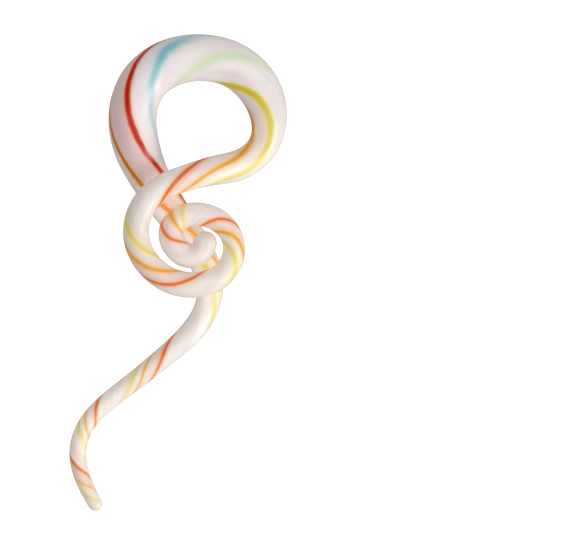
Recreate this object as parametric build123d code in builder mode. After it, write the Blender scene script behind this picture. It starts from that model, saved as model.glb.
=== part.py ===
# Spiral ear taper: one round glass rod that is bent into a big loop, wound into a flat coil at its
# thin end, and drawn out at the other end into a long curved tail that goes through the piercing.
# It lies as it rests on a table. +X runs across the loop, +Y from the tail up to the loop, +Z up.

import os
from bisect import bisect_left
from collections import namedtuple
from math import cos, radians, sin

from build123d import *

# Driving dimensions, in millimetres.
gauge = 8.0  # thickest diameter of the rod, which is the size of piercing that it fills
loop_reach = 11.33  # centre of the loop to the middle of the rod
coil_rod = 4.4  # thickest diameter of the rod in the coil
turn_gap = 0.9  # clear space between two turns of the coil, where they lie closest
eye_hollow = 0.29  # radius left open inside the rod's last bend, at the coil's eye
tail_drop = 34.8  # how far the tail reaches down below its root
tail_sway = 21.94  # how far the tail swings to the side of its root
tail_root = 4.25  # diameter of the rod where the tail leaves the coil
tail_tip = 2.4  # diameter of the tail's rounded tip
cross_gap = 0.4  # clear space where one stretch of the rod passes over another

# Where the coil's eye lies from the loop's centre, in shares of the reaches of loop and coil added up,
# and where the tail's root lies from the eye, in shares of the coil's reach: to the right, and up.
eye_place = (-0.066, -0.985)
root_place = (0.302, -0.853)

# Shape of the rod, a row for each point on its middle line. Sways, drops and reaches are shares of
# the sizes above, and turns counts the coil's turns outwards from its last bend, one for each whole
# turn of the rod. Girth is 0 at the thinner of the two diameters between which that stretch tapers
# and 1 at the thicker, and in the coil a share of coil_rod. Rise is 0 where the rod lies lowest in
# that stretch and 1 where it is highest.
TailPoint = namedtuple("TailPoint", "sway drop girth")
UnderPoint = namedtuple("UnderPoint", "right up girth")
LoopPoint = namedtuple("LoopPoint", "angle reach girth rise")
CoilPoint = namedtuple("CoilPoint", "angle turns girth rise")

tail_points = (  # from the tip to the root
    TailPoint(sway=0.870, drop=1.000, girth=0.00),
    TailPoint(sway=0.967, drop=0.872, girth=0.15),
    TailPoint(sway=1.000, drop=0.744, girth=0.24),
    TailPoint(sway=0.928, drop=0.614, girth=0.28),
    TailPoint(sway=0.781, drop=0.515, girth=0.37),
    TailPoint(sway=0.559, drop=0.406, girth=0.47),
    TailPoint(sway=0.316, drop=0.282, girth=0.64),
    TailPoint(sway=0.114, drop=0.160, girth=0.87),
    TailPoint(sway=0.000, drop=0.000, girth=1.00),
)
under_points = (  # below the coil, from the root to the crossing, in shares of the coil's reach
    UnderPoint(right=0.270, up=-0.485, girth=0.12),
    UnderPoint(right=0.106, up=-0.118, girth=0.20),
    UnderPoint(right=-0.172, up=0.299, girth=0.32),
    UnderPoint(right=-0.441, up=0.683, girth=0.50),
)
loop_points = (  # clockwise, from the crossing over the top and back
    LoopPoint(angle=231, reach=1.171, girth=0.66, rise=0.00),
    LoopPoint(angle=209, reach=1.044, girth=0.91, rise=0.00),
    LoopPoint(angle=180, reach=0.983, girth=1.00, rise=0.00),
    LoopPoint(angle=150, reach=0.945, girth=1.00, rise=0.00),
    LoopPoint(angle=120, reach=0.876, girth=1.00, rise=0.00),
    LoopPoint(angle=90, reach=0.841, girth=0.95, rise=0.00),
    LoopPoint(angle=60, reach=0.875, girth=0.90, rise=0.00),
    LoopPoint(angle=30, reach=0.938, girth=0.81, rise=0.03),
    LoopPoint(angle=0, reach=1.009, girth=0.51, rise=0.17),
    LoopPoint(angle=-25, reach=1.035, girth=0.21, rise=0.37),
    LoopPoint(angle=-50, reach=0.947, girth=0.20, rise=0.62),
    LoopPoint(angle=-75, reach=0.850, girth=0.14, rise=0.85),
)
coil_points = (  # anticlockwise round the eye, from the crossing to the rod's blunt end
    CoilPoint(angle=97, turns=1.573, girth=1.00, rise=1.00),
    CoilPoint(angle=122, turns=1.500, girth=0.99, rise=1.00),
    CoilPoint(angle=147, turns=1.432, girth=0.98, rise=0.94),
    CoilPoint(angle=169, turns=1.322, girth=0.98, rise=0.70),
    CoilPoint(angle=190, turns=1.182, girth=0.98, rise=0.45),
    CoilPoint(angle=212, turns=1.038, girth=0.97, rise=0.20),
    CoilPoint(angle=236, turns=0.947, girth=0.98, rise=0.05),
    CoilPoint(angle=261, turns=0.904, girth=0.97, rise=0.00),
    CoilPoint(angle=286, turns=0.926, girth=0.95, rise=0.00),
    CoilPoint(angle=311, turns=0.975, girth=0.91, rise=0.00),
    CoilPoint(angle=336, turns=0.980, girth=0.87, rise=0.00),
    CoilPoint(angle=361, turns=0.899, girth=0.83, rise=0.00),
    CoilPoint(angle=386, turns=0.752, girth=0.86, rise=0.00),
    CoilPoint(angle=412, turns=0.590, girth=0.88, rise=0.00),
    CoilPoint(angle=440, turns=0.476, girth=0.89, rise=0.00),
    CoilPoint(angle=468, turns=0.418, girth=0.90, rise=0.00),
    CoilPoint(angle=496, turns=0.343, girth=0.92, rise=0.00),
    CoilPoint(angle=524, turns=0.219, girth=0.94, rise=0.00),
    CoilPoint(angle=555, turns=0.080, girth=0.94, rise=0.00),
    CoilPoint(angle=585, turns=0.020, girth=0.93, rise=0.00),
    CoilPoint(angle=610, turns=0.002, girth=0.92, rise=0.00),
    CoilPoint(angle=634, turns=0.000, girth=0.90, rise=0.00),
    CoilPoint(angle=657, turns=0.000, girth=0.90, rise=0.00),
    CoilPoint(angle=679, turns=0.003, girth=0.89, rise=0.00),
    CoilPoint(angle=700, turns=0.008, girth=0.89, rise=0.00),
    CoilPoint(angle=718, turns=0.018, girth=0.89, rise=0.00),
)


def between(low, high, share):
    """The size that lies that share of the way from low to high."""
    return low + (high - low) * share


def around(centre, reach, angle):
    """The point at that reach from centre, angle degrees anticlockwise from +X, seen from above."""
    return centre + Vector(reach * cos(radians(angle)), reach * sin(radians(angle)))


# Reach of the rod's middle from the coil's eye, in its last bend and in its outermost turn.
turn_pitch = coil_rod + turn_gap
outermost_turn = 1.5
eye_reach = eye_hollow + coil_points[-1].girth * coil_rod / 2
coil_reach = eye_reach + outermost_turn * turn_pitch

# Where the loop, the coil's eye and the tail's root lie, seen from above.
loop_centre = Vector(0, 0)
eye = loop_centre + Vector(*eye_place) * (loop_reach + coil_reach)
root = eye + Vector(*root_place) * coil_reach

# Heights of the underside of the rod where it passes over the tail's stretch below the coil, which is
# thickest near its last point, and over the arm, halfway between that point and the loop.
tail_girth = between(under_points[-2].girth, under_points[-1].girth, 0.25)
arm_girth = between(under_points[-1].girth, loop_points[0].girth, 0.5)
over_tail = between(tail_root, gauge, tail_girth) + cross_gap
over_arm = between(tail_root, gauge, arm_girth) + cross_gap

# Points on the rod's middle line and its diameter there, from the tail's tip to the coil's end.
middles = []
diameters = []
for row in tail_points:
    diameters.append(between(tail_tip, tail_root, row.girth))
    middles.append(root + Vector(-row.sway * tail_sway, -row.drop * tail_drop, diameters[-1] / 2))
for row in under_points:
    diameters.append(between(tail_root, gauge, row.girth))
    middles.append(eye + Vector(row.right, row.up) * coil_reach + Vector(0, 0, diameters[-1] / 2))
for row in loop_points:
    thin = tail_root if row.angle > 180 else coil_rod
    diameters.append(between(thin, gauge, row.girth))
    lift = Vector(0, 0, row.rise * over_arm + diameters[-1] / 2)
    middles.append(around(loop_centre, row.reach * loop_reach, row.angle) + lift)
for row in coil_points:
    diameters.append(row.girth * coil_rod)
    lift = Vector(0, 0, between(over_tail, over_arm, row.rise) + diameters[-1] / 2)
    middles.append(around(eye, eye_reach + row.turns * turn_pitch, row.angle) + lift)

with BuildLine() as middle_line:
    Spline(*middles)
line = middle_line.edge()
stops = [line.param_at_point(middle) for middle in middles]


def rod_diameter(stop):
    """The rod's diameter at that share of its length, tapering evenly from point to point."""
    after = min(max(bisect_left(stops, stop), 1), len(stops) - 1)
    share = (stop - stops[after - 1]) / (stops[after] - stops[after - 1])
    return between(diameters[after - 1], diameters[after], share)


# The rod is drawn in stretches, each through many round slices at right angles to its middle line.
stretches = 6
slices = 30
with BuildPart() as rod:
    for stretch in range(stretches):
        for step in range(slices + 1):
            stop = (stretch + step / slices) / stretches
            along = line % stop
            with BuildSketch(Plane(origin=line @ stop, x_dir=Vector(0, 0, 1).cross(along), z_dir=along)):
                Circle(rod_diameter(stop) / 2)
        loft()
    # Each end is melted round.
    for stop, side in ((0, -1), (1, 1)):
        outward = (line % stop) * side
        radius = rod_diameter(stop) / 2
        with BuildSketch(Plane(origin=line @ stop, x_dir=outward, z_dir=Vector(0, 0, 1).cross(outward))):
            Circle(radius)
            Rectangle(radius, radius, align=(Align.MIN, Align.MIN), mode=Mode.INTERSECT)
        revolve(axis=Axis(line @ stop, outward))

# The origin is the middle of the underside of the box that holds the rod.
box = rod.part.bounding_box()
with BuildPart() as spiral_taper:
    with Locations((-box.center().X, -box.center().Y, -box.min.Z)):
        add(rod.part)

os.makedirs("parts", exist_ok=True)
spiral_taper.part.label = "spiral_taper"
export_step(spiral_taper.part, "parts/spiral_taper.step")
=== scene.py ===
# Looks of the spiral ear taper: a rod of white opal glass with five stripes of coloured glass fused
# into its skin, twisted along it as the hot rod was drawn out. Lengths are in metres.

from collections import namedtuple

import bpy
import numpy as np
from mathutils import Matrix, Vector


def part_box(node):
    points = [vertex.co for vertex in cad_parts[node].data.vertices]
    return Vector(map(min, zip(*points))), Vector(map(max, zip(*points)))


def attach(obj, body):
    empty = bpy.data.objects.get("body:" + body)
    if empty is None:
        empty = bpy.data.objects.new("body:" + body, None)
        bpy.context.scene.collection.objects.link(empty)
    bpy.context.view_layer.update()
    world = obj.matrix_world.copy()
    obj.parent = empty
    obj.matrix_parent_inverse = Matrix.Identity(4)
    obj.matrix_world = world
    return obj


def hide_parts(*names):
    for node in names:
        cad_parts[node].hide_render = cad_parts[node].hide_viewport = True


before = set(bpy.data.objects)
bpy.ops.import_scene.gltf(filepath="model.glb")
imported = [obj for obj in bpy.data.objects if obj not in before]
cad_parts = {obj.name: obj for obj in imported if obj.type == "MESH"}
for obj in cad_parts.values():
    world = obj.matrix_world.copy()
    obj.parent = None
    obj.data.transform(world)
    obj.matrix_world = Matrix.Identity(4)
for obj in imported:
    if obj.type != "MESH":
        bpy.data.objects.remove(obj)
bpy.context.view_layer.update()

mm = 0.001

# The rod's sizes.
gauge = 8.0 * mm  # thickest diameter
loop_reach = 11.33 * mm  # centre of the loop to the middle of the rod
coil_rod = 4.4 * mm  # thickest diameter in the coil
turn_gap = 0.9 * mm  # clear space between two turns of the coil
eye_hollow = 0.29 * mm  # radius left open inside the rod's last bend
tail_drop = 34.8 * mm  # how far the tail reaches down below its root
tail_sway = 21.94 * mm  # how far it swings to the side of its root
tail_root = 4.25 * mm  # diameter where the tail leaves the coil
tail_tip = 2.4 * mm  # diameter of the tail's rounded tip
cross_gap = 0.4 * mm  # clear space where the rod passes over itself

# Where the coil's eye lies from the loop's centre, in shares of both reaches added up, and where the
# tail's root lies from the eye, in shares of the coil's reach.
eye_place = np.array((-0.066, -0.985))
root_place = np.array((0.302, -0.853))

# How finely the rod is drawn.
ring_count = 700  # rings along the rod
round_count = 88  # points round each ring
cap_count = 9  # rings on each rounded end
roof_step = 4  # every so many rings, a length of rod that may roof over others

# How a value that is set at points along the rod is evened out there.
easing = 0.9 * mm  # how far to each side
easing_steps = 9  # places averaged over that way

# Where a stripe runs over the top of the rod, in turns from the left-hand side of the way along.
top = 0.25

# From the first of these diameters down to the second, the stripes' colours thin out.
full_colour = 7.5 * mm
thin_colour = 5.0 * mm

streak_length = 14.0 * mm  # the length over which the streaks in the white change

# Shares of the sky that other stretches of the rod hide from a place: from the first on it gets a
# painted glow, painted light that stands in for light soaking through them, and at the second the
# painted glow is full.
painted_glow_start = 0.05
painted_glow_full = 0.4

# Points on the rod's middle line. Sway, drop and the loop's reach are shares of the sizes above, right
# and up are shares of the coil's reach from its eye, and turns counts the coil's turns outwards from
# its last bend. Girth is 0 at the thinner and 1 at the thicker of the two diameters between which that
# stretch tapers, and in the coil a share of coil_rod. Rise is 0 where that stretch lies lowest and 1
# where it lies highest. Angles are degrees anticlockwise from +X.
TailPoint = namedtuple("TailPoint", "sway drop girth")
UnderPoint = namedtuple("UnderPoint", "right up girth")
LoopPoint = namedtuple("LoopPoint", "angle reach girth rise")
CoilPoint = namedtuple("CoilPoint", "angle turns girth rise")

tail_points = (  # from the tip to the root
    TailPoint(sway=0.870, drop=1.000, girth=0.00),
    TailPoint(sway=0.967, drop=0.872, girth=0.15),
    TailPoint(sway=1.000, drop=0.744, girth=0.24),
    TailPoint(sway=0.928, drop=0.614, girth=0.28),
    TailPoint(sway=0.781, drop=0.515, girth=0.37),
    TailPoint(sway=0.559, drop=0.406, girth=0.47),
    TailPoint(sway=0.316, drop=0.282, girth=0.64),
    TailPoint(sway=0.114, drop=0.160, girth=0.87),
    TailPoint(sway=0.000, drop=0.000, girth=1.00),
)
under_points = (  # below the coil, from the root to the crossing
    UnderPoint(right=0.270, up=-0.485, girth=0.12),
    UnderPoint(right=0.106, up=-0.118, girth=0.20),
    UnderPoint(right=-0.172, up=0.299, girth=0.32),
    UnderPoint(right=-0.441, up=0.683, girth=0.50),
)
loop_points = (  # clockwise, from the crossing over the top and back
    LoopPoint(angle=231, reach=1.171, girth=0.66, rise=0.00),
    LoopPoint(angle=209, reach=1.044, girth=0.91, rise=0.00),
    LoopPoint(angle=180, reach=0.983, girth=1.00, rise=0.00),
    LoopPoint(angle=150, reach=0.945, girth=1.00, rise=0.00),
    LoopPoint(angle=120, reach=0.876, girth=1.00, rise=0.00),
    LoopPoint(angle=90, reach=0.841, girth=0.95, rise=0.00),
    LoopPoint(angle=60, reach=0.875, girth=0.90, rise=0.00),
    LoopPoint(angle=30, reach=0.938, girth=0.81, rise=0.03),
    LoopPoint(angle=0, reach=1.009, girth=0.51, rise=0.17),
    LoopPoint(angle=-25, reach=1.035, girth=0.21, rise=0.37),
    LoopPoint(angle=-50, reach=0.947, girth=0.20, rise=0.62),
    LoopPoint(angle=-75, reach=0.850, girth=0.14, rise=0.85),
)
coil_points = (  # anticlockwise round the eye, from the crossing to the rod's blunt end
    CoilPoint(angle=97, turns=1.573, girth=1.00, rise=1.00),
    CoilPoint(angle=122, turns=1.500, girth=0.99, rise=1.00),
    CoilPoint(angle=147, turns=1.432, girth=0.98, rise=0.94),
    CoilPoint(angle=169, turns=1.322, girth=0.98, rise=0.70),
    CoilPoint(angle=190, turns=1.182, girth=0.98, rise=0.45),
    CoilPoint(angle=212, turns=1.038, girth=0.97, rise=0.20),
    CoilPoint(angle=236, turns=0.947, girth=0.98, rise=0.05),
    CoilPoint(angle=261, turns=0.904, girth=0.97, rise=0.00),
    CoilPoint(angle=286, turns=0.926, girth=0.95, rise=0.00),
    CoilPoint(angle=311, turns=0.975, girth=0.91, rise=0.00),
    CoilPoint(angle=336, turns=0.980, girth=0.87, rise=0.00),
    CoilPoint(angle=361, turns=0.899, girth=0.83, rise=0.00),
    CoilPoint(angle=386, turns=0.752, girth=0.86, rise=0.00),
    CoilPoint(angle=412, turns=0.590, girth=0.88, rise=0.00),
    CoilPoint(angle=440, turns=0.476, girth=0.89, rise=0.00),
    CoilPoint(angle=468, turns=0.418, girth=0.90, rise=0.00),
    CoilPoint(angle=496, turns=0.343, girth=0.92, rise=0.00),
    CoilPoint(angle=524, turns=0.219, girth=0.94, rise=0.00),
    CoilPoint(angle=555, turns=0.080, girth=0.94, rise=0.00),
    CoilPoint(angle=585, turns=0.020, girth=0.93, rise=0.00),
    CoilPoint(angle=610, turns=0.002, girth=0.92, rise=0.00),
    CoilPoint(angle=634, turns=0.000, girth=0.90, rise=0.00),
    CoilPoint(angle=657, turns=0.000, girth=0.90, rise=0.00),
    CoilPoint(angle=679, turns=0.003, girth=0.89, rise=0.00),
    CoilPoint(angle=700, turns=0.008, girth=0.89, rise=0.00),
    CoilPoint(angle=718, turns=0.018, girth=0.89, rise=0.00),
)

# Course of each stripe, from the tail's tip to the blunt end: along is the way along the rod's middle
# line and width the stripe's width, in millimetres. Turns counts how often the stripe has gone round
# the rod, and is a whole number where it crosses the top. Strength is 0 where the stripe has faded out
# and 1 where its colour is full.
StripePoint = namedtuple("StripePoint", "along turns width strength")

orange_course = (
    StripePoint(along=0.0, turns=-0.440, width=0.30, strength=0.0),
    StripePoint(along=3.4, turns=-0.015, width=0.30, strength=0.6),
    StripePoint(along=8.5, turns=0.460, width=0.28, strength=0.4),
    StripePoint(along=14.0, turns=1.015, width=0.30, strength=0.6),
    StripePoint(along=20.5, turns=1.570, width=0.28, strength=0.4),
    StripePoint(along=27.1, turns=2.022, width=0.34, strength=0.7),
    StripePoint(along=33.0, turns=2.340, width=0.40, strength=0.6),
    StripePoint(along=41.0, turns=2.640, width=0.45, strength=0.6),
    StripePoint(along=49.2, turns=2.850, width=0.55, strength=0.8),
    StripePoint(along=59.2, turns=2.997, width=0.70, strength=0.9),
    StripePoint(along=66.5, turns=3.085, width=0.88, strength=1.0),
    StripePoint(along=71.5, turns=3.130, width=0.88, strength=1.0),
    StripePoint(along=77.3, turns=3.198, width=0.76, strength=0.9),
    StripePoint(along=84.1, turns=3.310, width=0.60, strength=1.0),
    StripePoint(along=91.4, turns=3.470, width=0.60, strength=1.0),
    StripePoint(along=99.3, turns=3.630, width=0.60, strength=1.0),
    StripePoint(along=105.3, turns=3.740, width=0.80, strength=1.0),
    StripePoint(along=110.3, turns=3.798, width=1.00, strength=1.0),
    StripePoint(along=115.4, turns=3.820, width=1.00, strength=1.0),
    StripePoint(along=120.4, turns=3.888, width=0.85, strength=1.0),
    StripePoint(along=126.0, turns=3.990, width=0.55, strength=0.85),
    StripePoint(along=131.5, turns=4.165, width=0.45, strength=0.7),
    StripePoint(along=139.2, turns=4.500, width=0.42, strength=0.7),
    StripePoint(along=146.4, turns=4.838, width=0.50, strength=0.9),
    StripePoint(along=150.4, turns=4.991, width=0.52, strength=1.0),
    StripePoint(along=154.9, turns=5.182, width=0.48, strength=0.9),
    StripePoint(along=160.9, turns=5.500, width=0.42, strength=0.8),
    StripePoint(along=167.2, turns=5.818, width=0.45, strength=0.8),
    StripePoint(along=171.0, turns=6.025, width=0.52, strength=1.0),
    StripePoint(along=173.7, turns=6.256, width=0.52, strength=1.0),
    StripePoint(along=177.7, turns=6.570, width=0.42, strength=0.9),
    StripePoint(along=180.6, turns=6.758, width=0.50, strength=0.9),
    StripePoint(along=181.7, turns=7.019, width=0.55, strength=1.0),
    StripePoint(along=183.6, turns=7.203, width=0.42, strength=0.9),
    StripePoint(along=189.1, turns=7.500, width=0.35, strength=0.0),
)
red_course = (
    StripePoint(along=0.0, turns=-0.640, width=0.30, strength=0.0),
    StripePoint(along=5.0, turns=-0.135, width=0.32, strength=0.6),
    StripePoint(along=7.2, turns=0.075, width=0.42, strength=0.9),
    StripePoint(along=11.5, turns=0.480, width=0.40, strength=0.7),
    StripePoint(along=15.4, turns=0.885, width=0.34, strength=0.6),
    StripePoint(along=17.4, turns=1.075, width=0.42, strength=0.9),
    StripePoint(along=22.5, turns=1.490, width=0.40, strength=0.7),
    StripePoint(along=28.4, turns=1.875, width=0.40, strength=0.6),
    StripePoint(along=31.0, turns=2.014, width=0.50, strength=0.92),
    StripePoint(along=33.5, turns=2.143, width=0.48, strength=0.85),
    StripePoint(along=38.0, turns=2.320, width=0.45, strength=0.72),
    StripePoint(along=48.0, turns=2.610, width=0.55, strength=1.0),
    StripePoint(along=59.9, turns=2.800, width=0.75, strength=1.0),
    StripePoint(along=66.8, turns=2.888, width=0.90, strength=1.0),
    StripePoint(along=69.2, turns=2.920, width=0.85, strength=1.0),
    StripePoint(along=70.8, turns=2.946, width=0.84, strength=0.75),
    StripePoint(along=72.3, turns=2.963, width=0.98, strength=1.0),
    StripePoint(along=75.4, turns=2.995, width=1.10, strength=1.0),
    StripePoint(along=80.3, turns=3.056, width=1.08, strength=1.0),
    StripePoint(along=84.0, turns=3.120, width=0.98, strength=1.0),
    StripePoint(along=86.5, turns=3.178, width=1.00, strength=1.0),
    StripePoint(along=92.0, turns=3.270, width=1.00, strength=0.9),
    StripePoint(along=99.3, turns=3.350, width=0.50, strength=0.8),
    StripePoint(along=114.2, turns=3.540, width=0.45, strength=0.9),
    StripePoint(along=124.7, turns=3.730, width=0.50, strength=0.9),
    StripePoint(along=129.0, turns=3.868, width=0.64, strength=0.95),
    StripePoint(along=133.0, turns=4.028, width=0.58, strength=0.95),
    StripePoint(along=137.0, turns=4.186, width=0.48, strength=0.88),
    StripePoint(along=140.7, turns=4.335, width=0.42, strength=0.8),
    StripePoint(along=145.2, turns=4.560, width=0.42, strength=0.8),
    StripePoint(along=151.6, turns=4.850, width=0.46, strength=0.88),
    StripePoint(along=155.4, turns=4.990, width=0.50, strength=0.88),
    StripePoint(along=159.1, turns=5.138, width=0.48, strength=0.88),
    StripePoint(along=165.0, turns=5.440, width=0.40, strength=0.8),
    StripePoint(along=170.9, turns=5.785, width=0.44, strength=0.8),
    StripePoint(along=174.5, turns=6.029, width=0.48, strength=0.88),
    StripePoint(along=178.2, turns=6.362, width=0.42, strength=0.8),
    StripePoint(along=182.7, turns=6.832, width=0.44, strength=0.8),
    StripePoint(along=184.7, turns=7.029, width=0.46, strength=0.88),
    StripePoint(along=187.6, turns=7.216, width=0.42, strength=0.6),
    StripePoint(along=190.6, turns=7.310, width=0.35, strength=0.0),
)
yellow_course = (
    StripePoint(along=0.0, turns=-0.100, width=0.70, strength=0.0),
    StripePoint(along=1.2, turns=0.000, width=0.70, strength=0.35),
    StripePoint(along=6.0, turns=0.410, width=0.70, strength=0.3),
    StripePoint(along=12.4, turns=1.035, width=0.80, strength=0.45),
    StripePoint(along=14.5, turns=1.272, width=0.60, strength=0.7),
    StripePoint(along=18.0, turns=1.520, width=0.60, strength=0.4),
    StripePoint(along=22.6, turns=1.885, width=0.80, strength=0.25),
    StripePoint(along=25.0, turns=2.051, width=0.60, strength=0.7),
    StripePoint(along=27.0, turns=2.172, width=0.60, strength=0.45),
    StripePoint(along=31.0, turns=2.430, width=0.60, strength=0.5),
    StripePoint(along=38.5, turns=2.755, width=0.60, strength=0.4),
    StripePoint(along=42.5, turns=2.890, width=0.80, strength=0.45),
    StripePoint(along=46.0, turns=2.960, width=0.85, strength=0.8),
    StripePoint(along=49.0, turns=2.998, width=0.90, strength=1.0),
    StripePoint(along=54.0, turns=3.130, width=0.80, strength=1.0),
    StripePoint(along=66.0, turns=3.310, width=0.80, strength=0.8),
    StripePoint(along=79.8, turns=3.460, width=0.80, strength=0.3),
    StripePoint(along=91.4, turns=3.620, width=0.80, strength=0.3),
    StripePoint(along=97.3, turns=3.753, width=1.40, strength=0.5),
    StripePoint(along=100.8, turns=3.825, width=1.60, strength=0.95),
    StripePoint(along=105.3, turns=3.918, width=1.50, strength=1.0),
    StripePoint(along=110.8, turns=3.998, width=1.05, strength=1.0),
    StripePoint(along=116.2, turns=4.043, width=1.00, strength=0.85),
    StripePoint(along=121.7, turns=4.094, width=1.00, strength=0.7),
    StripePoint(along=124.2, turns=4.130, width=1.00, strength=0.6),
    StripePoint(along=126.7, turns=4.185, width=1.00, strength=0.5),
    StripePoint(along=129.2, turns=4.250, width=0.90, strength=0.4),
    StripePoint(along=135.2, turns=4.480, width=0.75, strength=0.5),
    StripePoint(along=142.0, turns=4.830, width=0.75, strength=0.8),
    StripePoint(along=145.8, turns=5.007, width=0.80, strength=0.9),
    StripePoint(along=149.8, turns=5.195, width=0.65, strength=0.7),
    StripePoint(along=155.9, turns=5.465, width=0.60, strength=0.6),
    StripePoint(along=162.3, turns=5.770, width=0.75, strength=0.6),
    StripePoint(along=167.2, turns=6.000, width=0.80, strength=0.8),
    StripePoint(along=170.6, turns=6.222, width=0.65, strength=0.7),
    StripePoint(along=175.2, turns=6.450, width=0.60, strength=0.6),
    StripePoint(along=178.8, turns=6.690, width=0.70, strength=0.6),
    StripePoint(along=180.0, turns=7.000, width=0.70, strength=0.6),
    StripePoint(along=183.6, turns=7.330, width=0.60, strength=0.3),
    StripePoint(along=187.1, turns=7.500, width=0.50, strength=0.0),
)
blue_course = (
    StripePoint(along=64.0, turns=2.700, width=1.60, strength=0.0),
    StripePoint(along=76.9, turns=2.845, width=1.50, strength=0.3),
    StripePoint(along=79.8, turns=2.874, width=1.80, strength=0.38),
    StripePoint(along=82.7, turns=2.916, width=1.70, strength=0.48),
    StripePoint(along=84.6, turns=2.959, width=1.35, strength=0.62),
    StripePoint(along=86.7, turns=3.009, width=1.50, strength=0.72),
    StripePoint(along=88.6, turns=3.073, width=1.95, strength=0.82),
    StripePoint(along=90.2, turns=3.111, width=2.30, strength=0.82),
    StripePoint(along=91.6, turns=3.139, width=2.40, strength=0.55),
    StripePoint(along=93.2, turns=3.179, width=2.50, strength=0.3),
    StripePoint(along=96.0, turns=3.290, width=2.20, strength=0.15),
    StripePoint(along=100.3, turns=3.400, width=1.80, strength=0.0),
)
green_course = (
    StripePoint(along=79.8, turns=2.640, width=1.20, strength=0.0),
    StripePoint(along=86.3, turns=2.772, width=1.40, strength=0.2),
    StripePoint(along=91.1, turns=2.875, width=1.65, strength=0.45),
    StripePoint(along=96.0, turns=2.987, width=1.70, strength=0.62),
    StripePoint(along=100.8, turns=3.088, width=1.70, strength=0.5),
    StripePoint(along=104.5, turns=3.170, width=1.60, strength=0.25),
    StripePoint(along=110.0, turns=3.300, width=1.40, strength=0.0),
)

# The white of the glass along the rod, as display colours, warmest at its two ends. It also holds
# painted light and shade: painted light around 126 mm, where the rod is made lighter, and painted
# shade around 142 mm, where it is made darker to tone down a highlight. Along is in millimetres, as
# for the stripes.
GlassPoint = namedtuple("GlassPoint", "along red green blue")
glass_tone_and_painted_light = (
    GlassPoint(along=0, red=246, green=231, blue=215),
    GlassPoint(along=14, red=250, green=239, blue=231),
    GlassPoint(along=36, red=249, green=242, blue=236),
    GlassPoint(along=58, red=240, green=232, blue=226),
    GlassPoint(along=75, red=241, green=236, blue=235),
    GlassPoint(along=97, red=245, green=240, blue=238),
    GlassPoint(along=110, red=238, green=233, blue=229),
    GlassPoint(along=126, red=253, green=247, blue=245),
    GlassPoint(along=142, red=233, green=228, blue=221),
    GlassPoint(along=163, red=246, green=241, blue=233),
    GlassPoint(along=187, red=240, green=234, blue=230),
    GlassPoint(along=195, red=230, green=228, blue=216),
)

stripe_courses = {
    "blue": blue_course,
    "green": green_course,
    "yellow": yellow_course,
    "orange": orange_course,
    "red": red_course,
}


def between(low, high, share):
    """The size that lies that share of the way from low to high."""
    return low + (high - low) * share


def around(centre, reach, angle):
    """Points at those reaches from centre, each angle degrees anticlockwise from +X, as rows."""
    turned = np.radians(angle)
    return centre + np.column_stack([reach * np.cos(turned), reach * np.sin(turned)])


def lying(flat, underside, diameter):
    """Rows of x, y, z and diameter, for points whose rod rests on a height: the middle of the rod lies
    half its diameter above it."""
    return np.column_stack([flat, underside + diameter / 2, diameter])


def rod_points():
    """Points on the rod's middle line, with its diameter there, from the tail's tip to the blunt end.
    The coil's reach is that of its turn one and a half turns out from its last bend."""
    turn_pitch = coil_rod + turn_gap
    eye_reach = eye_hollow + coil_points[-1].girth * coil_rod / 2
    coil_reach = eye_reach + 1.5 * turn_pitch
    loop_centre = np.zeros(2)
    eye = loop_centre + eye_place * (loop_reach + coil_reach)
    root = eye + root_place * coil_reach

    # Heights of the coil's underside over the tail's stretch below it, and over the loop's first arm:
    # the rod there is as thick as a quarter, and half, of the way from one of its points to the next.
    tail_girth = between(under_points[-2].girth, under_points[-1].girth, 0.25)
    arm_girth = between(under_points[-1].girth, loop_points[0].girth, 0.5)
    over_tail = between(tail_root, gauge, tail_girth) + cross_gap
    over_arm = between(tail_root, gauge, arm_girth) + cross_gap

    sway, drop, girth = np.transpose(tail_points)
    flat = root - np.column_stack([sway * tail_sway, drop * tail_drop])
    tail = lying(flat, 0, between(tail_tip, tail_root, girth))

    right, up, girth = np.transpose(under_points)
    flat = eye + np.column_stack([right, up]) * coil_reach
    under = lying(flat, 0, between(tail_root, gauge, girth))

    angle, reach, girth, rise = np.transpose(loop_points)
    thin = np.where(angle > 180, tail_root, coil_rod)
    flat = around(loop_centre, reach * loop_reach, angle)
    loop = lying(flat, rise * over_arm, between(thin, gauge, girth))

    angle, turns, girth, rise = np.transpose(coil_points)
    flat = around(eye, eye_reach + turns * turn_pitch, angle)
    coil = lying(flat, between(over_tail, over_arm, rise), girth * coil_rod)
    return np.concatenate([tail, under, loop, coil])


def smooth_line(knots, points, places):
    """The natural cubic spline through the points, read at places. In each span a point is the mix of
    the span's two ends plus a share of the bend at each, and the bends are solved together so that
    the slope runs on from span to span and the line is straight at its two ends."""
    span = np.diff(knots)
    slope = np.diff(points, axis=0) / span[:, None]
    inner = np.arange(1, len(knots) - 1)
    system = np.eye(len(knots))
    system[inner, inner - 1] = span[:-1]
    system[inner, inner] = 2 * (span[:-1] + span[1:])
    system[inner, inner + 1] = span[1:]
    turn = np.zeros_like(points)
    turn[inner] = 6 * np.diff(slope, axis=0)
    bend = np.linalg.solve(system, turn)
    first = np.clip(np.searchsorted(knots, places) - 1, 0, len(span) - 1)
    width = span[first][:, None]
    after = (places - knots[first])[:, None] / width
    before = 1 - after
    straight = before * points[first] + after * points[first + 1]
    bent = (before**3 - before) * bend[first] + (after**3 - after) * bend[first + 1]
    return straight + width**2 / 6 * bent


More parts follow.
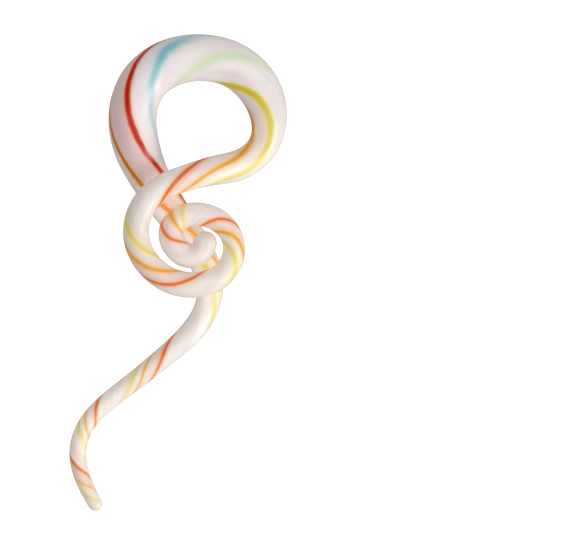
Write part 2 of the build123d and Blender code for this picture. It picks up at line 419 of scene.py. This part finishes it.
def rod_line():
    """Even steps along the rod: the way along, the middle line, the radius and the direction there.
    The spline's knots are the straight distances between its points."""
    points = rod_points()
    knots = np.concatenate([[0], np.cumsum(np.linalg.norm(np.diff(points[:, :3], axis=0), axis=1))])
    fine = np.linspace(0, knots[-1], 20 * ring_count)
    steps = np.linalg.norm(np.diff(smooth_line(knots, points[:, :3], fine), axis=0), axis=1)
    run = np.concatenate([[0], np.cumsum(steps)])
    along = np.linspace(0, run[-1], ring_count)
    line = smooth_line(knots, points, np.interp(along, run, fine))
    direction = np.gradient(line[:, :3], along, axis=0)
    direction /= np.linalg.norm(direction, axis=1)[:, None]
    return along, line[:, :3], line[:, 3] / 2, direction


def with_round_ends(along, middle, radius, direction):
    """Adds the rings of a half ball at each end: at an angle from the end's own ring, a ring's radius
    is the end's radius times the cosine, and it lies that radius times the sine further out."""
    angle = np.linspace(0, np.pi / 2, cap_count + 1)[1:]
    out = np.sin(angle) * radius[-1]
    back = np.sin(angle[::-1]) * radius[0]
    tip_middle = middle[0] - back[:, None] * direction[0]
    end_middle = middle[-1] + out[:, None] * direction[-1]
    tip_radius = np.cos(angle[::-1]) * radius[0]
    end_radius = np.cos(angle) * radius[-1]
    tip_direction = np.repeat(direction[:1], cap_count, axis=0)
    end_direction = np.repeat(direction[-1:], cap_count, axis=0)
    return (
        np.concatenate([along[0] - back, along, along[-1] + out]),
        np.concatenate([tip_middle, middle, end_middle]),
        np.concatenate([tip_radius, radius, end_radius]),
        np.concatenate([tip_direction, direction, end_direction]),
    )


def tube(middle, radius, direction):
    """A round skin about a line: each point is the ring's middle, plus the radius times the cosine of
    its angle to the left of the way, plus the radius times the sine upwards. The first and last ring
    have no radius, so each is one point, and all other rings are joined by four-sided faces."""
    left = np.cross([0, 0, 1], direction)
    left /= np.linalg.norm(left, axis=1)[:, None]
    up = np.cross(direction, left)
    angle = 2 * np.pi * np.arange(round_count) / round_count
    spoke = np.cos(angle)[:, None] * left[:, None] + np.sin(angle)[:, None] * up[:, None]
    skin = middle[:, None] + radius[:, None, None] * spoke
    rings = len(middle)
    points = np.concatenate([middle[:1], skin[1:-1].reshape(-1, 3), middle[-1:]])

    ring = 1 + np.arange(rings - 2)[:, None] * round_count
    here = np.arange(round_count)[None]
    beside = (here + 1) % round_count
    near, far = ring[:-1], ring[1:]
    walls = np.stack([near + here, near + beside, far + beside, far + here], axis=-1).reshape(-1, 4)
    start = np.column_stack([1 + beside[0], 1 + here[0], np.zeros(round_count, int)])
    last = ring[-1] + here[0]
    end = np.column_stack([last, ring[-1] + beside[0], np.full(round_count, len(points) - 1)])
    return points, walls, np.concatenate([start, end])


def to_points(values):
    """Spreads one value a ring to the skin's points."""
    return np.concatenate([values[:1], np.repeat(values[1:-1], round_count), values[-1:]])


def eased(along, places, values):
    """Values read between given places, straight from one to the next, and then averaged over a
    short way to each side so that the corners are eased."""
    shifts = np.linspace(-easing, easing, easing_steps)
    return np.mean([np.interp(along + shift, places, values) for shift in shifts], axis=0)


def shares_round(along):
    """For each point of the skin, its share of the way round its ring, and 0 at the two end points."""
    share = np.tile(np.arange(round_count) / round_count, len(along) - 2)
    return np.concatenate([[0], share, [0]])


def stripe_map(course, along, radius, corner, first):
    """For each corner of each face: how strong the stripe is there, and how far that place lies from
    the stripe's middle, in half widths. The distance round the rod is the difference in turns times the
    girth, and measured square to the slanting stripe it is that divided by the length of the slant for
    each unit along. It runs from minus half a turn to half a turn, whole across each face."""
    places, turns, width, strength = np.transpose(course)
    turned = smooth_line(places * mm, turns[:, None], along)[:, 0]
    girth = 2 * np.pi * radius
    slant = np.hypot(1, girth * np.gradient(turned, along))
    half_width = eased(along, places * mm, width) * mm / 2
    scale = to_points(girth / slant / half_width)
    strong = to_points(eased(along, places * mm, strength))
    apart = shares_round(along) + to_points(turned) - top
    from_first = (apart[corner] - apart[first] + 0.5) % 1 - 0.5
    offset = (apart[first] + 0.5) % 1 - 0.5 + from_first
    return np.column_stack([strong[corner], offset * scale[corner]])


def untwisted(along):
    """The place of each point before the rod was twisted: the cosine and sine of its angle from the red
    stripe's middle, and the way along in shares of a streak's length."""
    places, turns, *_ = np.transpose(red_course)
    turned = smooth_line(places * mm, turns[:, None], along)[:, 0]
    angle = 2 * np.pi * (shares_round(along) + to_points(turned) - top)
    return np.column_stack([np.cos(angle), np.sin(angle), to_points(along / streak_length)])


def covering(points, normals, middle, radius, direction, spacing):
    """How far each point of the skin is roofed over by other stretches of the rod: the sum, over short
    lengths of the rod, of its width times the length, as they show from the point, times how squarely
    the skin faces them and how high they stand over it, over pi times the distance squared."""
    away = (middle[None] - points[:, None]).astype(np.float32)
    distance = np.linalg.norm(away, axis=2)
    facing = np.clip(np.einsum("pmk,pk->pm", away, normals) / distance, 0, 1)
    lengthwise = np.einsum("pmk,mk->pm", away, direction) / distance
    side_on = np.sqrt(np.clip(1 - lengthwise**2, 0, 1))
    overhead = np.clip(away[..., 2] / distance, 0, 1)
    filled = 2 * radius * spacing * side_on * facing * overhead / (np.pi * distance**2)
    return np.clip(filled.sum(axis=1), 0, 1)


def display(red, green, blue):
    """The linear colour of a display colour, or of an array of them, whose parts go up to 255."""
    part = np.array([red, green, blue]) / 255
    linear = np.where(part <= 0.04045, part / 12.92, ((part + 0.055) / 1.055) ** 2.4)
    return [*linear, np.ones_like(linear[0])]


def make_taper():
    """The taper's glass, with a map for each stripe and, for each point: the white of the glass with
    its painted light and shade, how thinned out the colours are, how far other stretches of the rod
    roof it over, which sets its painted glow, and its place before the rod was twisted. The skin is set
    down in the middle of the CAD node's box, on its underside."""
    along, middle, radius, direction = with_round_ends(*rod_line())
    points, walls, fans = tube(middle, radius, direction)
    lowest, highest = (np.array(corner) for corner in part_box("spiral_taper"))
    low, high = points.min(axis=0), points.max(axis=0)
    shift = (lowest + highest - low - high) / 2
    shift[2] = lowest[2] - low[2]

    mesh = bpy.data.meshes.new("striped_glass_rod")
    mesh.from_pydata((points + shift).tolist(), [], walls.tolist() + fans.tolist())
    mesh.polygons.foreach_set("use_smooth", np.ones(len(mesh.polygons), bool))
    corner = np.concatenate([walls.ravel(), fans.ravel()])
    first = np.concatenate([np.repeat(walls[:, 0], 4), np.repeat(fans[:, 0], 3)])
    for name, course in stripe_courses.items():
        layer = mesh.uv_layers.new(name=name, do_init=False)
        layer.uv.foreach_set("vector", stripe_map(course, along, radius, corner, first).ravel())
    thinness = mesh.attributes.new("thinness", "FLOAT", "POINT")
    inner = np.interp(along, along[cap_count:-cap_count], radius[cap_count:-cap_count])
    thinned = (full_colour - 2 * inner) / (full_colour - thin_colour)
    thinness.data.foreach_set("value", to_points(np.clip(thinned, 0, 1)))
    drawn = mesh.attributes.new("drawn", "FLOAT_VECTOR", "POINT")
    drawn.data.foreach_set("vector", untwisted(along).ravel())
    places, *parts = np.transpose(glass_tone_and_painted_light)
    white = display(*(eased(along, places * mm, part) for part in parts))
    whites_and_painted_light = mesh.attributes.new("glass_white_and_painted_light", "FLOAT_COLOR", "POINT")
    whites_and_painted_light.data.foreach_set("color", np.column_stack([to_points(part) for part in white]).ravel())
    mesh.update()

    normals = np.zeros(3 * len(points), np.float32)
    mesh.vertex_normals.foreach_get("vector", normals)
    normals = normals.reshape(-1, 3)
    some = slice(cap_count, -cap_count, roof_step)
    spacing = roof_step * (along[cap_count + 1] - along[cap_count])
    # How far each point is roofed over by the rod: where it is, the skin gets a painted glow.
    roofed = covering(points, normals, middle[some], radius[some], direction[some], spacing)
    painted_glow_cover = mesh.attributes.new("painted_glow_cover", "FLOAT", "POINT")
    painted_glow_cover.data.foreach_set("value", roofed)
    taper = bpy.data.objects.new("striped_glass_rod", mesh)
    bpy.context.scene.collection.objects.link(taper)
    return taper


def feed(tree, made, inputs):
    """Gives each named or numbered input of a node its value, or a link from another node's output."""
    for name, value in inputs.items():
        if isinstance(value, bpy.types.NodeSocket):
            tree.links.new(value, made.inputs[name])
        else:
            made.inputs[name].default_value = value


def node(tree, kind, inputs, **settings):
    """Adds a shader node, sets its properties and feeds its inputs."""
    made = tree.nodes.new("ShaderNode" + kind)
    for name, value in settings.items():
        setattr(made, name, value)
    feed(tree, made, inputs)
    return made


def group(name, inputs, outputs):
    """An empty node group with those sockets, given as name and kind, and its two end nodes."""
    tree = bpy.data.node_groups.new(name, "ShaderNodeTree")
    for label, kind in inputs:
        tree.interface.new_socket(label, in_out="INPUT", socket_type="NodeSocket" + kind)
    for label, kind in outputs:
        tree.interface.new_socket(label, in_out="OUTPUT", socket_type="NodeSocket" + kind)
    return tree, tree.nodes.new("NodeGroupInput"), tree.nodes.new("NodeGroupOutput")


def mix(tree, share, low, high):
    """The colour that lies that share of the way from low to high."""
    mixed = node(tree, "Mix", {0: share, 6: low, 7: high}, data_type="RGBA")
    return mixed.outputs[2]


def multiplied(tree, first, second):
    """Two colours multiplied, as light through two layers of glass."""
    mixed = node(tree, "Mix", {0: 1.0, 6: first, 7: second}, data_type="RGBA", blend_type="MULTIPLY")
    return mixed.outputs[2]


def fade(tree, value, start, end):
    """1 up to start, 0 from end on, and smooth between them."""
    ranged = node(
        tree,
        "MapRange",
        {"Value": value, "From Min": start, "From Max": end, "To Min": 1.0, "To Max": 0.0},
        interpolation_type="SMOOTHSTEP",
    )
    return ranged.outputs["Result"]


def math(tree, operation, *values):
    """One step of arithmetic."""
    return node(tree, "Math", dict(enumerate(values)), operation=operation).outputs[0]


def blended(tree, share, low, high):
    """The number that lies that share of the way from low to high."""
    return math(tree, "MULTIPLY_ADD", share, high - low, low)


def stripe_group():
    """A stripe of coloured glass over the glass below it. Its colour is deepest in its middle and turns
    to the thin colour at its edges and where the rod is drawn thin. A halo runs along both its sides.
    Where the rod is thin its edges are softer and its halo is wider and stronger. It bleeds a little
    tint into the glass ahead of it and behind it, as far as its two reaches in half widths."""
    tree, given, made = group(
        "stripe",
        [
            ("Below", "Color"), ("Place", "Vector"), ("Thinness", "Float"), ("Waver", "Float"),
            ("Deep Colour", "Color"), ("Thin Colour", "Color"), ("Halo", "Color"),
            ("Deep Tint", "Color"), ("Thin Tint", "Color"), ("Tint Strength", "Float"),
            ("Reach Ahead", "Float"), ("Reach Behind", "Float"), ("Softness", "Float"),
        ],
        [("Colour", "Color")],
    )
    g = given.outputs
    parts = node(tree, "SeparateXYZ", {0: g["Place"]}).outputs
    strength = parts["X"]
    wavered = math(tree, "ADD", parts["Y"], g["Waver"])
    apart = math(tree, "ABSOLUTE", wavered)
    is_ahead = math(tree, "GREATER_THAN", wavered, 0.0)
    reach = node(tree, "Mix", {0: is_ahead, 2: g["Reach Behind"], 3: g["Reach Ahead"]}).outputs[0]
    tint = fade(tree, apart, 0.5, reach)
    tint = math(tree, "MULTIPLY", tint, math(tree, "MULTIPLY", g["Tint Strength"], strength))
    tint_colour = mix(tree, g["Thinness"], g["Deep Tint"], g["Thin Tint"])
    tinted = mix(tree, tint, g["Below"], multiplied(tree, g["Below"], tint_colour))
    halo_reach = blended(tree, g["Thinness"], 2.4, 4.0)
    halo_strength = math(tree, "MULTIPLY", blended(tree, g["Thinness"], 0.4, 1.0), strength)
    halo = math(tree, "MULTIPLY", fade(tree, apart, 0.6, halo_reach), halo_strength)
    haloed = mix(tree, halo, tinted, multiplied(tree, tinted, g["Halo"]))
    middle = fade(tree, apart, 0.2, 1.1)
    deep = math(tree, "MULTIPLY", middle, math(tree, "SUBTRACT", 1.0, g["Thinness"]))
    colour = mix(tree, deep, g["Thin Colour"], g["Deep Colour"])
    softness = math(tree, "ADD", g["Softness"], blended(tree, g["Thinness"], 0.0, 0.25))
    inner_edge = math(tree, "SUBTRACT", 1.0, softness)
    outer_edge = math(tree, "ADD", 1.0, softness)
    cover = math(tree, "MULTIPLY", fade(tree, apart, inner_edge, outer_edge), strength)
    tree.links.new(mix(tree, cover, haloed, colour), made.inputs["Colour"])
    return tree


def opal_group():
    """White opal glass: faint streaks of pink and grey, drawn out along the twist, over the white. The
    skin is a little rougher in some streaks, has slow ripples left by the flame, and gives a slight
    waver to the edges of what is laid into it."""
    tree, given, made = group(
        "opal white",
        [
            ("Place", "Vector"), ("Drawn", "Vector"), ("White", "Color"), ("Pink Streak", "Color"),
            ("Grey Streak", "Color"),
        ],
        [("Colour", "Color"), ("Roughness", "Float"), ("Height", "Float"), ("Waver", "Float")],
    )
    g = given.outputs
    pink = node(tree, "TexNoise", {"Vector": g["Drawn"], "Scale": 1.0, "Detail": 2.0})
    grey = node(tree, "TexNoise", {"Vector": g["Drawn"], "Scale": 1.8, "Detail": 3.0})
    ripple = node(tree, "TexNoise", {"Vector": g["Place"], "Scale": 180.0, "Detail": 1.0})
    waver = node(tree, "TexNoise", {"Vector": g["Place"], "Scale": 500.0, "Detail": 2.0})
    pinked = multiplied(tree, g["White"], g["Pink Streak"])
    streaked = mix(tree, fade(tree, pink.outputs["Fac"], 0.62, 0.40), g["White"], pinked)
    greyed = multiplied(tree, streaked, g["Grey Streak"])
    colour = mix(tree, fade(tree, grey.outputs["Fac"], 0.66, 0.38), streaked, greyed)
    tree.links.new(colour, made.inputs["Colour"])
    rough = node(tree, "MapRange", {"Value": grey.outputs["Fac"], "To Min": 0.14, "To Max": 0.26})
    tree.links.new(rough.outputs["Result"], made.inputs["Roughness"])
    tree.links.new(ripple.outputs["Fac"], made.inputs["Height"])
    centred = math(tree, "SUBTRACT", waver.outputs["Fac"], 0.5)
    tree.links.new(math(tree, "MULTIPLY", centred, 0.6), made.inputs["Waver"])
    return tree


# Each stripe's colours, where the rod is thick and where it is thin, with the tint's strength, its
# reaches and the softness of the stripe's edges. A part above 255 brightens the glass below it.
StripeLook = namedtuple(
    "StripeLook", "deep thin halo deep_tint thin_tint tint_strength ahead behind softness"
)
stripe_looks = {
    "blue": StripeLook(
        deep=display(118, 198, 206), thin=display(186, 226, 230), halo=display(255, 255, 255),
        deep_tint=display(216, 240, 247), thin_tint=display(240, 250, 252),
        tint_strength=0.6, ahead=1.8, behind=3.4, softness=0.6,
    ),
    "green": StripeLook(
        deep=display(204, 226, 170), thin=display(216, 230, 194), halo=display(255, 255, 255),
        deep_tint=display(240, 250, 232), thin_tint=display(248, 252, 240),
        tint_strength=0.4, ahead=2.2, behind=2.2, softness=0.7,
    ),
    "yellow": StripeLook(
        deep=display(214, 198, 30), thin=display(226, 214, 104), halo=display(260, 254, 214),
        deep_tint=display(255, 249, 220), thin_tint=display(255, 252, 236),
        tint_strength=0.4, ahead=4.0, behind=2.2, softness=0.35,
    ),
    "orange": StripeLook(
        deep=display(200, 106, 14), thin=display(237, 174, 48), halo=display(268, 230, 164),
        deep_tint=display(238, 206, 204), thin_tint=display(255, 230, 224),
        tint_strength=0.5, ahead=12.0, behind=2.4, softness=0.35,
    ),
    "red": StripeLook(
        deep=display(200, 6, 0), thin=display(220, 116, 42), halo=display(278, 212, 162),
        deep_tint=display(238, 206, 204), thin_tint=display(255, 230, 224),
        tint_strength=0.5, ahead=2.4, behind=12.0, softness=0.25,
    ),
}


def striped_glass():
    """The rod's material: opal white glass, the five stripes laid into it one over the other, and a
    flame-polished skin that lets light in a little way. All of it has a faint painted glow, and a
    stronger painted glow where other stretches of the rod roof it over, to lighten those shaded places."""
    material = bpy.data.materials.new("opal_glass")
    material.use_nodes = True
    tree = material.node_tree
    tree.nodes.clear()
    # The glass's white, with its painted light and shade along the rod.
    white = node(tree, "Attribute", {}, attribute_name="glass_white_and_painted_light").outputs["Color"]
    thinness = node(tree, "Attribute", {}, attribute_name="thinness").outputs["Fac"]
    opal = node(tree, "Group", {}, node_tree=opal_group())
    feed(tree, opal, {
        "Place": node(tree, "TexCoord", {}).outputs["Object"],
        "Drawn": node(tree, "Attribute", {}, attribute_name="drawn").outputs["Vector"],
        "White": white,
        "Pink Streak": display(255, 249, 249),
        "Grey Streak": display(248, 247, 249),
    })
    colour = opal.outputs["Colour"]
    stripe = stripe_group()
    for name, look in stripe_looks.items():
        laid = node(tree, "Group", {}, node_tree=stripe)
        feed(tree, laid, {
            "Below": colour,
            "Place": node(tree, "UVMap", {}, uv_map=name).outputs["UV"],
            "Thinness": thinness,
            "Waver": opal.outputs["Waver"],
            "Deep Colour": look.deep,
            "Thin Colour": look.thin,
            "Halo": look.halo,
            "Deep Tint": look.deep_tint,
            "Thin Tint": look.thin_tint,
            "Tint Strength": look.tint_strength,
            "Reach Ahead": look.ahead,
            "Reach Behind": look.behind,
            "Softness": look.softness,
        })
        colour = laid.outputs["Colour"]
    # Painted glow: a faint emission all over the rod, and a brighter one where other stretches roof it
    # over, painted light for those shaded places.
    painted_glow_cover = node(tree, "Attribute", {}, attribute_name="painted_glow_cover").outputs["Fac"]
    in_the_open = fade(tree, painted_glow_cover, painted_glow_start, painted_glow_full)
    painted_glow = mix(tree, in_the_open, (1.0, 1.1, 1.15, 1), (0.2, 0.19, 0.19, 1))
    bump = node(
        tree, "Bump", {"Strength": 0.25, "Distance": 0.05 * mm, "Height": opal.outputs["Height"]}
    )
    glass = node(
        tree,
        "BsdfPrincipled",
        {
            "Base Color": colour,
            "Roughness": opal.outputs["Roughness"],
            "Normal": bump.outputs["Normal"],
            "IOR": 1.5,
            "Subsurface Weight": 0.8,
            "Subsurface Radius": (1.0, 0.75, 0.6),
            "Subsurface Scale": 2.5 * mm,
            "Emission Color": multiplied(tree, colour, painted_glow),
            "Emission Strength": 0.4,
        },
    )
    surface = node(tree, "OutputMaterial", {"Surface": glass.outputs["BSDF"]})
    surface.is_active_output = True
    return material


def make_floor():
    """A wide flat disc that the taper lies on: one face with its points evenly round a circle. The
    camera sees it lit up to a clean white."""
    reach = 3.0
    rim_count = 96
    angle = 360 * np.arange(rim_count) / rim_count
    rim = np.column_stack([around(np.zeros(2), reach, angle), np.zeros(rim_count)])
    mesh = bpy.data.meshes.new("table_top")
    mesh.from_pydata(rim.tolist(), [], [list(range(rim_count))])
    floor = bpy.data.objects.new("table_top", mesh)
    bpy.context.scene.collection.objects.link(floor)
    material = bpy.data.materials.new("table_top")
    material.use_nodes = True
    tree = material.node_tree
    seen = node(tree, "LightPath", {}).outputs["Is Camera Ray"]
    feed(tree, tree.nodes["Principled BSDF"], {
        "Base Color": (0.5, 0.5, 0.5, 1),
        "Roughness": 0.8,
        "Specular IOR Level": 0.1,
        "Emission Color": (1, 1, 1, 1),
        "Emission Strength": math(tree, "MULTIPLY", seen, 0.9),
    })
    mesh.materials.append(material)


def add_light(name, place, size, power, tint):
    """A square soft light at a place, turned towards the middle of the taper."""
    lamp = bpy.data.lights.new(name, "AREA")
    lamp.size = size
    lamp.energy = power
    lamp.color = tint
    light = bpy.data.objects.new(name, lamp)
    light.location = place
    light.rotation_euler = (-Vector(place)).to_track_quat("-Z", "Y").to_euler()
    bpy.context.scene.collection.objects.link(light)


taper = make_taper()
taper.data.materials.append(striped_glass())
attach(taper, "root")
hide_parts("spiral_taper")

make_floor()
add_light("window", (0.75, -0.35, 0.5), 0.7, 4.7, (1.0, 0.99, 0.97))
add_light("overhead", (0.1, 0.0, 1.0), 1.0, 2.3, (1.0, 1.0, 1.0))

# The surround is full white behind the taper, dimmer as a light on it, and dimmer still in its gloss.
world = bpy.data.worlds.new("studio")
world.use_nodes = True
sky = world.node_tree
ray = node(sky, "LightPath", {}).outputs
seen = blended(sky, ray["Is Camera Ray"], 0.44, 1.0)
feed(sky, sky.nodes["Background"], {
    "Color": (1.0, 1.0, 1.0, 1),
    "Strength": math(sky, "ADD", seen, blended(sky, ray["Is Glossy Ray"], 0.0, -0.24)),
})
bpy.context.scene.world = world
bpy.context.scene.view_settings.view_transform = "Standard"

# The camera looks straight down, with +Y up in the picture. The picture is 565 points wide, at six
# points to the millimetre, and its middle lies to the right of the taper's.
picture_width = 565 / 6 * mm
camera_height = 1.5
view_middle = (17.36 * mm, -0.37 * mm)
lens = bpy.data.cameras.new("camera")
lens.lens = lens.sensor_width * camera_height / picture_width
camera = bpy.data.objects.new("camera", lens)
camera.location = (*view_middle, camera_height)
bpy.context.scene.collection.objects.link(camera)
bpy.context.scene.camera = camera
